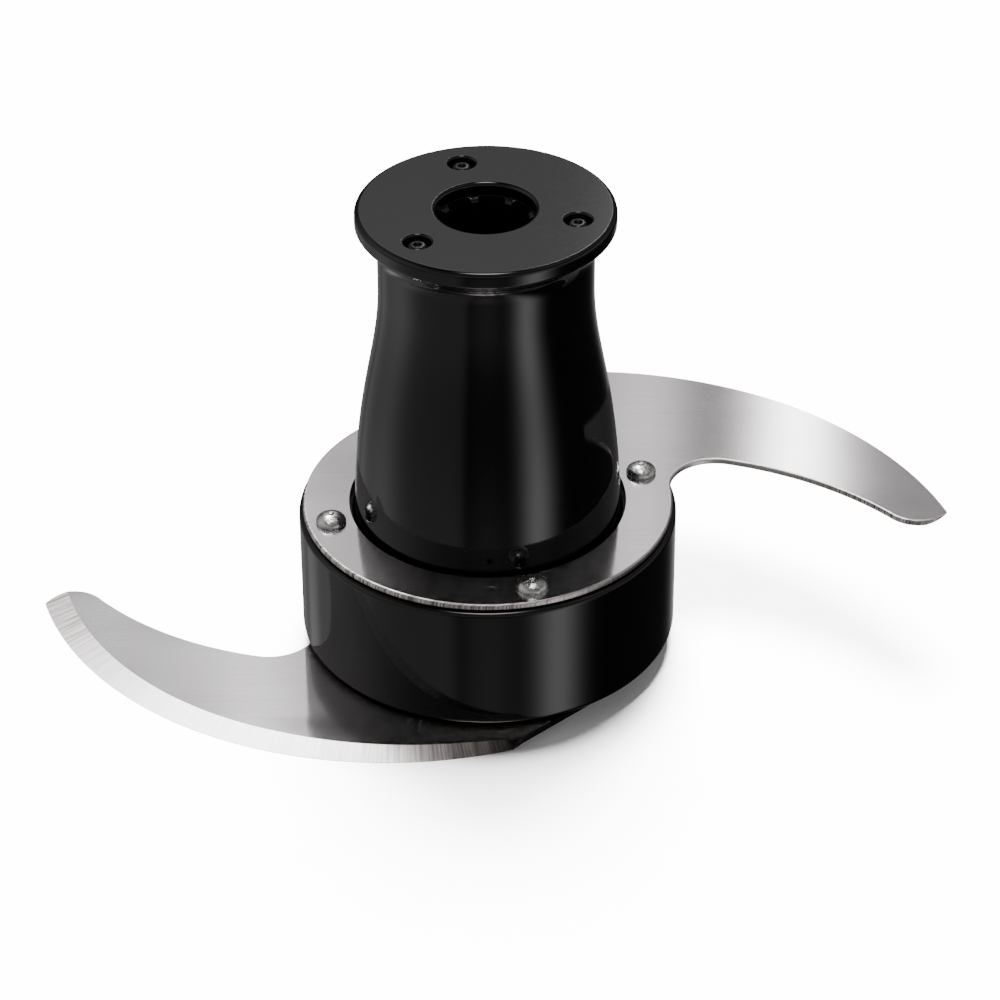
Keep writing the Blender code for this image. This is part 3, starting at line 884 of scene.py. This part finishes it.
class KNIFE_OT_blade_collar(bpy.types.Operator):
    """Build the drum between the blades, with seats for the seal and the sleeve's flange"""

    bl_idname = "knife.blade_collar"
    bl_label = "Blade collar"

    def execute(self, context):
        s = sizes()
        top, foot = float(COLLAR_HIGH[2]), float(COLLAR_LOW[2])
        rim = float(COLLAR_HIGH[0])
        edge, low_edge = COLLAR_TOP_EDGE, COLLAR_FOOT_EDGE
        seal_r, seal_z = UPPER_HOLE_R + SEAL_GROOVE, top - SEAL_GROOVE_DEPTH
        seat_r, seat_z = FLANGE_SEAT_R, foot + FLANGE_SEAT_DEPTH
        bore = s.sleeve_radius + SLEEVE_CLEARANCE
        profile = path(
            (seal_r, top),
            arc((rim - edge, top - edge), edge, 90.0, 0.0, 12),
            arc((rim - low_edge, foot + low_edge), low_edge, 0.0, -90.0, 14),
            (seat_r, foot),
            (seat_r, seat_z),
            (bore, seat_z),
            (bore, seal_z),
            (seal_r, seal_z),
        )
        shape = Shape()
        shape.turn(with_holding_points(profile), COLLAR_STEPS, closed=True)
        data = shape.mesh("blade_collar_surface")
        plastic = [hub_plastic(colours().plastic)]
        place("collar_surface", data, plastic, ["blade_collar"])
        return {"FINISHED"}


def blade_outline(ring_r):
    """Outline of a blade and its ring, anticlockwise, with the arm towards -X.

    Arcs in turn: the ring, the notch (tangent to the ring and to the back edge), the hollow
    back edge, the arm's rounded end (tangent to the back edge), the small corner where it
    meets the cutting edge, and the cutting edge. A straight run tangent to the ring closes it.
    """
    origin = (0.0, 0.0)
    notch = meet(origin, ring_r + NOTCH_R, BACK_CENTRE, BACK_R - NOTCH_R, 1)
    end = meet(EDGE_CENTRE, END_REACH, BACK_CENTRE, BACK_R + END_R, 1)
    corner = meet(EDGE_CENTRE, EDGE_R - CORNER_R, end, END_R - CORNER_R, -1)
    edge_end = arc(EDGE_CENTRE, EDGE_R, EDGE_END, EDGE_END, 0)[0]
    tangent = bearing(origin, edge_end) + np.degrees(acos(ring_r / hypot(*edge_end)))
    notch_angle = bearing(origin, notch) % 360.0
    notch_end = bearing(BACK_CENTRE, notch)
    end_bearing = bearing(BACK_CENTRE, end)
    corner_bearing = bearing(end, corner) % 360.0
    edge_start = bearing(EDGE_CENTRE, corner) % 360.0
    return path(
        arc(origin, ring_r, tangent, notch_angle, 150),
        arc(notch, NOTCH_R, notch_angle - 180.0, notch_end, 24)[1:],
        arc(BACK_CENTRE, BACK_R, notch_end, end_bearing, 48)[1:],
        arc(end, END_R, end_bearing + 180.0, corner_bearing, 36)[1:],
        arc(corner, CORNER_R, corner_bearing, edge_start, 12)[1:],
        arc(EDGE_CENTRE, EDGE_R, edge_start, EDGE_END % 360.0, 150)[1:],
    )


def inset(loop, distance):
    """Moves a closed anticlockwise loop inwards: along the bisector of its two edges,
    by distance over the cosine of half the turn, as a mitre does."""
    before = np.roll(loop, 1, axis=0)
    after = np.roll(loop, -1, axis=0)
    d1, d2 = loop - before, after - loop
    n1 = np.column_stack((-d1[:, 1], d1[:, 0])) / np.hypot(*d1.T)[:, None]
    n2 = np.column_stack((-d2[:, 1], d2[:, 0])) / np.hypot(*d2.T)[:, None]
    bisector = n1 + n2
    scale = 2.0 / np.maximum((bisector**2).sum(1), 0.5)
    return loop + bisector * scale[:, None] * np.reshape(distance, (-1, 1))


def grind_width(points):
    """Width of the ground face at a point's bearing from the cutting edge's centre.

    It narrows towards the ring: width * (0.2 + 0.8 * (degrees left / run-out) ^ 0.4).
    """
    ray = points - np.array(EDGE_CENTRE)
    left = EDGE_END % 360.0 - np.degrees(np.arctan2(ray[..., 1], ray[..., 0])) % 360.0
    share = np.clip(left / GRIND_RUN_OUT, 0.0, 1.0)
    return sizes().grind_width * (0.2 + 0.8 * share**0.4)


def past_ridge(points):
    """Distance of points outwards from the ridge where the ground face starts."""
    away = np.hypot(*(points - np.array(EDGE_CENTRE)).T)
    return away - (EDGE_R - grind_width(points))


def crossing(loop):
    """Adds the points where a loop crosses the ridge, found by halving the stretch."""
    nxt = np.roll(loop, -1, axis=0)
    r1, r2 = past_ridge(loop), past_ridge(nxt)
    out = []
    for i, point in enumerate(loop):
        out.append(point)
        if r1[i] * r2[i] < 0.0:
            low, high = 0.0, 1.0
            for _ in range(30):
                middle = (low + high) / 2.0
                at = point + (nxt[i] - point) * middle
                if past_ridge(at[None])[0] * r1[i] > 0.0:
                    low = middle
                else:
                    high = middle
            out.append(point + (nxt[i] - point) * low)
    return np.array(out)


def make_blade(node, ring_r, hole_r, thickness, low, turned, materials):
    """One blade, with its underside at a height.

    It is made with its arm towards -X and its grind on top. The upper blade is the same
    shape turned half round and then over, so its grind is underneath.

    On the ground face the height falls evenly from the ridge to the land at the edge:
    thickness - (thickness - land) * distance past the ridge / width.
    """
    s = sizes()
    fall = thickness - s.edge_land
    centre = np.array(EDGE_CENTRE)

    def surface(points):
        return thickness - fall * np.maximum(past_ridge(points), 0.0) / grind_width(points)

    outline = crossing(blade_outline(ring_r))
    on_arm = (outline[:, 0] < ARM_SIDE) & (outline[:, 1] < ARM_SIDE)
    ground = (past_ridge(outline) > -1e-8) & on_arm
    height = np.where(ground, surface(outline), thickness)
    first = int(np.flatnonzero(ground & ~np.roll(ground, 1))[0])
    outline, height = np.roll(outline, -first, axis=0), np.roll(height, -first)
    ground = np.roll(ground, -first)
    soft = np.minimum(s.plate_edge, 0.33 * height)
    hold = inset(outline, soft + HOLD)
    inner = inset(outline, soft)
    inner_top = np.where(ground, surface(inner), thickness)

    def lift(loop, z):
        return np.column_stack((loop, np.broadcast_to(z, len(loop))))

    shape = Shape()
    swing = np.radians(np.linspace(0.0, 90.0, 9))
    wall = [lift(hold, 0.0)]
    for t in swing[::-1]:
        wall.append(lift(inset(outline, soft * (1.0 - cos(t))), soft * (1.0 - sin(t))))
    for t in swing:
        z = (height - soft) * (1.0 - sin(t)) + inner_top * sin(t)
        wall.append(lift(inset(outline, soft * (1.0 - cos(t))), z))
    shape.grid(np.array(wall), finish=1)
    count = int(ground.sum())
    rim = inner[:count]
    spoke = rim - centre
    swept = np.maximum.accumulate(np.unwrap(np.arctan2(spoke[:, 1], spoke[:, 0])))
    crest = np.column_stack((np.cos(swept), np.sin(swept)))
    crest = centre + crest * (EDGE_R - grind_width(centre + crest))[:, None]
    crest[0], crest[-1] = rim[0], rim[-1]
    rows = []
    for v in BEVEL_ROWS:
        row = crest + (rim - crest) * v
        z = surface(row) if v else thickness
        z = np.where(v == 1.0, inner_top[:count], z)
        rows.append(lift(row, z))
    rows = np.array(rows)
    rows[:, 0] = rows[-1, 0]
    rows[:, -1] = rows[-1, -1]
    shape.grid(rows[::-1], closed_columns=False, finish=1)
    border = path(inner[count - 1 :], inner[:1])
    held = path(inner[count - 1], hold[count:], inner[:1])
    strip = np.array([lift(border, thickness), lift(held, thickness)])
    shape.grid(strip, closed_columns=False)
    top_loop = path(crest, hold[count:])
    holes = [(0.0, 0.0, hole_r, 256)]
    for angle in RIVET_ANGLES:
        x, y = arc((0.0, 0.0), s.rivet_pitch, angle, angle, 0)[0]
        holes.append((x, y, RIVET_HOLE_R, 40))
    peep_r, peep_angle = PEEP_PLACE
    x, y = arc((0.0, 0.0), peep_r, peep_angle + turned, peep_angle + turned, 0)[0]
    holes.append((x, y, PEEP_R, 32))
    loops = []
    for x, y, radius, steps in holes:
        wide = circle((x, y), radius + HOLE_CHAMFER, steps)
        tight = circle((x, y), radius, steps)
        bore = [
            lift(wide, thickness),
            lift(tight, thickness - HOLE_CHAMFER),
            lift(tight, HOLE_CHAMFER),
            lift(wide, 0.0),
        ]
        shape.grid(np.array(bore))
        loops.append(wide)
    shape.fill([top_loop] + loops, thickness)
    shape.fill([hold] + loops, 0.0, up=False)
    data = shape.mesh(node + "_surface", sharp=12.5)
    matrix = Matrix.Translation((0.0, 0.0, low))
    if turned:
        over = Matrix.Scale(-1.0, 4, (0.0, 0.0, 1.0))
        half = Matrix.Rotation(radians(turned), 4, "Z")
        matrix = Matrix.Translation((0.0, 0.0, low + thickness)) @ half @ over
    add_maps(data, centre)
    data.transform(matrix)
    if turned:
        data.flip_normals()
    place(node + "_surface", data, materials, [node])


def add_maps(data, centre):
    """Two maps: brushing is ten times (y, x), so that its U runs across the brush lines, and
    grinding is the length along the cutting edge and the distance across the bevel."""
    count = len(data.loops)
    index = np.empty(count, dtype=np.int32)
    data.loops.foreach_get("vertex_index", index)
    points = np.empty(len(data.vertices) * 3)
    data.vertices.foreach_get("co", points)
    points = points.reshape(-1, 3)[index]
    ray = points[:, :2] - centre
    along = np.arctan2(ray[:, 1], ray[:, 0]) % TAU
    across = EDGE_R - np.hypot(*ray.T)
    brushing = data.uv_layers.new(name="brushing")
    brushing.data.foreach_set("uv", np.column_stack((points[:, 1], points[:, 0])).ravel() * 10.0)
    grinding = data.uv_layers.new(name="grinding")
    grinding.data.foreach_set("uv", np.column_stack((along * EDGE_R, across)).ravel())


class KNIFE_OT_blades(bpy.types.Operator):
    """Build the two curved blades with their ground cutting edges"""

    bl_idname = "knife.blades"
    bl_label = "Blades"

    def execute(self, context):
        materials = [satin_steel(colours().steel), ground_steel(colours().ground)]
        thickness = float(LOWER_HIGH[2] - LOWER_LOW[2])
        for node, ring_r, hole_r, low, turned in (
            ("lower_blade", LOWER_RING_R, LOWER_HOLE_R, LOWER_LOW, 0.0),
            ("upper_blade", UPPER_RING_R, UPPER_HOLE_R, UPPER_LOW, 180.0),
        ):
            make_blade(node, ring_r, hole_r, thickness, float(low[2]), turned, materials)
        return {"FINISHED"}


class KNIFE_OT_rivets(bpy.types.Operator):
    """Build the four domed rivets and the spacer tubes round them"""

    bl_idname = "knife.rivets"
    bl_label = "Rivets"

    def execute(self, context):
        s = sizes()
        steel = [rivet_steel(colours().rivet)]
        for number, angle in enumerate(RIVET_ANGLES, start=1):
            low, high = node_box(f"rivet_{number}")
            centre = arc((0.0, 0.0), s.rivet_pitch, angle, angle, 0)[0]
            top, foot = float(high[2]), float(low[2])
            head = float(UPPER_HIGH[2]) + JOINT_GAP
            tall = top - head - STUB_HEIGHT
            rise = np.radians(np.linspace(DOME_START, 0.0, 18))
            dome = np.column_stack(
                (
                    s.rivet_head * np.cos(rise),
                    head + DOME_BASE + (tall - DOME_BASE) * np.sin(rise),
                )
            )
            profile = path(
                (0.0, top),
                arc((STUB_R, top - 0.2 * MM), 0.2 * MM, 90.0, 0.0, 5),
                (0.6 * MM, dome[0, 1] + 0.03 * MM),
                dome,
                (s.rivet_head - 0.12 * MM, head),
                (SHANK_R, head),
                (SHANK_R, foot + TAIL_HEIGHT),
                (TAIL_R, foot + TAIL_HEIGHT),
                (TAIL_R, foot + TAIL_EDGE),
                arc((1.6 * MM, foot + TAIL_EDGE), TAIL_EDGE, 0.0, -90.0, 8),
                (0.0, foot),
            )
            shape = Shape()
            shape.turn(profile, 72, centre=centre)
            name, node = f"rivet_surface_{number}", [f"rivet_{number}"]
            place(name, shape.mesh(name), steel, node)
            low, high = node_box(f"rivet_spacer_{number}")
            shape = Shape()
            foot, top = float(low[2]), float(high[2])
            run = rounded_ring(SPACER_INNER_R, SPACER_OUTER_R, foot, top, SPACER_EDGE)
            shape.turn(run, 48, centre=centre, closed=True)
            name, node = f"spacer_surface_{number}", [f"rivet_spacer_{number}"]
            place(name, shape.mesh(name), steel, node)
        return {"FINISHED"}


# ---------------------------------------------------------------- stage


FLOOR_SIDE = 12.0
CAMERA_LENS = 130.5
CAMERA_ELEVATION = 34.25
CAMERA_ROLL = -0.25
CAMERA_DISTANCE = 711.0 * MM
AIM_RIGHT = 2.42 * MM
AIM_ABOVE_COLLAR_FOOT = 27.35 * MM
AMBIENT = 0.36
MIRRORED_TINT = (1.0, 0.985, 0.98, 1.0)
PANEL_BASE = 0.02
ZENITH_REACH = 9.0
ZENITH_GLOW = 14.0
# heading from +Y towards +X, elevation, half width, half height, power, strength
PANELS = (
    (-98.0, -35.0, 62.0, 46.0, 20.0, 0.34),
    (-82.0, -33.0, 18.0, 30.0, 2.0, 0.38),
    (-42.0, -42.0, 9.0, 6.0, 4.0, 0.5),
    (-25.0, -35.0, 14.0, 20.0, 2.0, 0.25),
    (180.0, -50.0, 20.0, 27.0, 2.0, 0.36),
    (137.0, -27.0, 13.4, 32.0, 2.0, 1.95),
    (10.0, -35.0, 16.0, 20.0, 2.0, 0.45),
    (90.0, 14.0, 42.0, 14.0, 2.0, 0.6),
    (90.0, 60.0, 45.0, 15.0, 2.0, 0.45),
    (-90.0, 30.0, 42.0, 26.0, 2.0, 0.6),
    (180.0, 16.0, 45.0, 13.0, 2.0, 0.55),
    (180.0, 60.0, 45.0, 15.0, 2.0, 0.4),
    (0.0, 42.0, 60.0, 16.0, 2.0, 0.3),
    (-0.5, 42.0, 7.8, 16.0, 8.0, 0.88),
    (2.8, 36.0, 0.7, 10.0, 2.0, 0.7),
    (2.7, 31.5, 0.8, 2.6, 2.0, 0.9),
    (4.05, 36.0, 0.7, 10.0, 2.0, -0.7),
    (5.65, 36.0, 0.5, 10.0, 2.0, 19.0),
    (-4.9, 36.0, 0.8, 10.0, 2.0, 1.55),
    (-7.4, 36.0, 2.0, 10.0, 2.0, -0.5),
    (8.6, 36.0, 1.2, 10.0, 2.0, 0.35),
)


def studio_world():
    """Even, dim surroundings. What shiny surfaces mirror is a sum of soft panels.

    A panel's glow is strength * exp(-(|across| / half width)^p - (|up| / half height)^2),
    in degrees. A round glow straight overhead falls off with the fourth power.
    """
    world = bpy.data.worlds.new("studio")
    bpy.context.scene.world = world
    world.use_nodes = True
    tree = world.node_tree
    tree.nodes.clear()

    def node(kind, **settings):
        item = tree.nodes.new(kind)
        for key, value in settings.items():
            setattr(item, key, value)
        return item

    def maths(operation, *values):
        item = node("ShaderNodeMath", operation=operation)
        for entry, value in zip(item.inputs, values):
            if isinstance(value, (int, float)):
                entry.default_value = value
            else:
                tree.links.new(value, entry)
        return item.outputs[0]

    def falloff(distance, reach, power):
        share = maths("ABSOLUTE", maths("DIVIDE", distance, reach))
        return maths("POWER", share, power)

    direction = node("ShaderNodeTexCoord").outputs["Generated"]
    split = node("ShaderNodeSeparateXYZ")
    tree.links.new(direction, split.inputs[0])
    x, y, z = split.outputs
    heading = maths("MULTIPLY", maths("ARCTAN2", x, y), 180.0 / pi)
    elevation = maths("MULTIPLY", maths("ARCSINE", z), 180.0 / pi)
    total = PANEL_BASE
    for at, up, wide, tall, power, strength in PANELS:
        across = maths("WRAP", maths("SUBTRACT", heading, at), 180.0, -180.0)
        reach = maths(
            "ADD",
            falloff(across, wide, power),
            falloff(maths("SUBTRACT", elevation, up), tall, 2.0),
        )
        glow = maths("MULTIPLY", maths("EXPONENT", maths("MULTIPLY", reach, -1.0)), strength)
        total = maths("ADD", total, glow)
    overhead = maths("SUBTRACT", 90.0, elevation)
    glow = maths("EXPONENT", maths("MULTIPLY", falloff(overhead, ZENITH_REACH, 4.0), -1.0))
    total = maths("ADD", total, maths("MULTIPLY", glow, ZENITH_GLOW))
    total = maths("MAXIMUM", total, 0.0)
    mirrored = node("ShaderNodeBackground")
    tree.links.new(total, mirrored.inputs["Strength"])
    mirrored.inputs["Color"].default_value = MIRRORED_TINT
    ambient = node("ShaderNodeBackground")
    ambient.inputs["Color"].default_value = grey(1.0)
    ambient.inputs["Strength"].default_value = AMBIENT
    rays = node("ShaderNodeLightPath")
    mix = node("ShaderNodeMixShader")
    tree.links.new(rays.outputs["Is Glossy Ray"], mix.inputs["Fac"])
    tree.links.new(ambient.outputs[0], mix.inputs[1])
    tree.links.new(mirrored.outputs[0], mix.inputs[2])
    out = node("ShaderNodeOutputWorld")
    tree.links.new(mix.outputs[0], out.inputs["Surface"])


def add_sun(name, heading, height, angle, strength, lit, blockers=None):
    """A broad sun that only lights some pieces, with a heading from +Y towards +X.

    A level matt face below it then sends out its colour * strength * sin(height) / pi.
    """
    lamp = bpy.data.lights.new(name, "SUN")
    lamp.energy = strength
    lamp.angle = radians(angle)
    item = bpy.data.objects.new(name, lamp)
    bpy.context.scene.collection.objects.link(item)
    item.rotation_euler = (radians(height - 90.0), 0.0, radians(-heading))
    item.light_linking.receiver_collection = group(name + "_lit", lit)
    if blockers:
        item.light_linking.blocker_collection = group(name + "_blockers", blockers)


def group(name, members):
    """A collection for light linking, which isn't put in the scene's own tree."""
    collection = bpy.data.collections.new(name)
    for member in members:
        collection.objects.link(member)
    return collection


class KNIFE_OT_stage(bpy.types.Operator):
    """Build the pale floor, the lights and the camera"""

    bl_idname = "knife.stage"
    bl_label = "Stage"

    def execute(self, context):
        axis = (-FLOOR_SIDE / 2.0, FLOOR_SIDE / 2.0)
        x, y = np.meshgrid(axis, axis)
        rows = np.stack((x, y, np.full_like(x, -JOINT_GAP)), axis=-1)
        shape = Shape()
        shape.grid(rows, closed_columns=False)
        floor = bpy.data.objects.new("studio_floor", shape.mesh("studio_floor"))
        context.scene.collection.objects.link(floor)
        floor.data.materials.append(stage_floor())
        floor.visible_glossy = False
        floor.visible_diffuse = False
        studio_world()
        blades = [bpy.data.objects[name + "_blade_surface"] for name in ("lower", "upper")]
        rivets = [bpy.data.objects[f"rivet_surface_{number}"] for number in range(1, 5)]
        names = ("sleeve_surface", "cap_surface", "collar_surface", "upper_blade_surface")
        tall = [bpy.data.objects[name] for name in names]
        add_sun("high_sun", 0.0, 72.0, 26.0, 29.0, [floor], tall)
        add_sun("back_sun", 0.0, 61.0, 22.0, 26.0, [floor], tall[:3])
        add_sun("grind_sun", -20.0, 58.0, 15.0, 2.4, blades + rivets)
        camera = bpy.data.cameras.new("camera")
        camera.sensor_width = 36.0
        camera.lens = CAMERA_LENS
        item = bpy.data.objects.new("camera", camera)
        context.scene.collection.objects.link(item)
        aim = Vector((AIM_RIGHT, 0.0, collar_foot() + AIM_ABOVE_COLLAR_FOOT))
        elevation = radians(CAMERA_ELEVATION)
        back = Vector((0.0, -cos(elevation), sin(elevation)))
        turn = Matrix.Rotation(radians(90.0 - CAMERA_ELEVATION), 4, "X")
        twist = Matrix.Rotation(radians(CAMERA_ROLL), 4, "Z")
        item.matrix_world = Matrix.Translation(aim + back * CAMERA_DISTANCE) @ turn @ twist
        camera.clip_start, camera.clip_end = 0.01, 30.0
        context.scene.camera = item
        return {"FINISHED"}


# ---------------------------------------------------------------- panel


OPERATORS = (
    KNIFE_OT_hub_sleeve,
    KNIFE_OT_hub_cap,
    KNIFE_OT_cap_screws,
    KNIFE_OT_drive_socket,
    KNIFE_OT_seals,
    KNIFE_OT_blade_collar,
    KNIFE_OT_blades,
    KNIFE_OT_rivets,
    KNIFE_OT_stage,
)


class KNIFE_PT_panel(bpy.types.Panel):
    """Sizes, colours and build steps of the chopping knife"""

    bl_idname = "KNIFE_PT_panel"
    bl_label = "Chopping Knife"
    bl_space_type = "VIEW_3D"
    bl_region_type = "UI"
    bl_category = "Chopping Knife"

    def draw(self, context):
        layout = self.layout
        for settings in (sizes(), colours()):
            box = layout.box()
            for name in settings.__annotations__:
                box.prop(settings, name)
        for operator in OPERATORS:
            layout.operator(operator.bl_idname)


CLASSES = (KnifeSizes, KnifeColours, *OPERATORS, KNIFE_PT_panel)


def register():
    for item in CLASSES:
        bpy.utils.register_class(item)
    bpy.types.Scene.knife_sizes = bpy.props.PointerProperty(type=KnifeSizes)
    bpy.types.Scene.knife_colours = bpy.props.PointerProperty(type=KnifeColours)


def unregister():
    del bpy.types.Scene.knife_colours
    del bpy.types.Scene.knife_sizes
    for item in reversed(CLASSES):
        bpy.utils.unregister_class(item)


def main():
    register()
    bpy.ops.knife.hub_sleeve()
    bpy.ops.knife.hub_cap()
    bpy.ops.knife.cap_screws()
    bpy.ops.knife.drive_socket()
    bpy.ops.knife.seals()
    bpy.ops.knife.blade_collar()
    bpy.ops.knife.blades()
    bpy.ops.knife.rivets()
    bpy.ops.knife.stage()


if __name__ == "__main__":
    main()
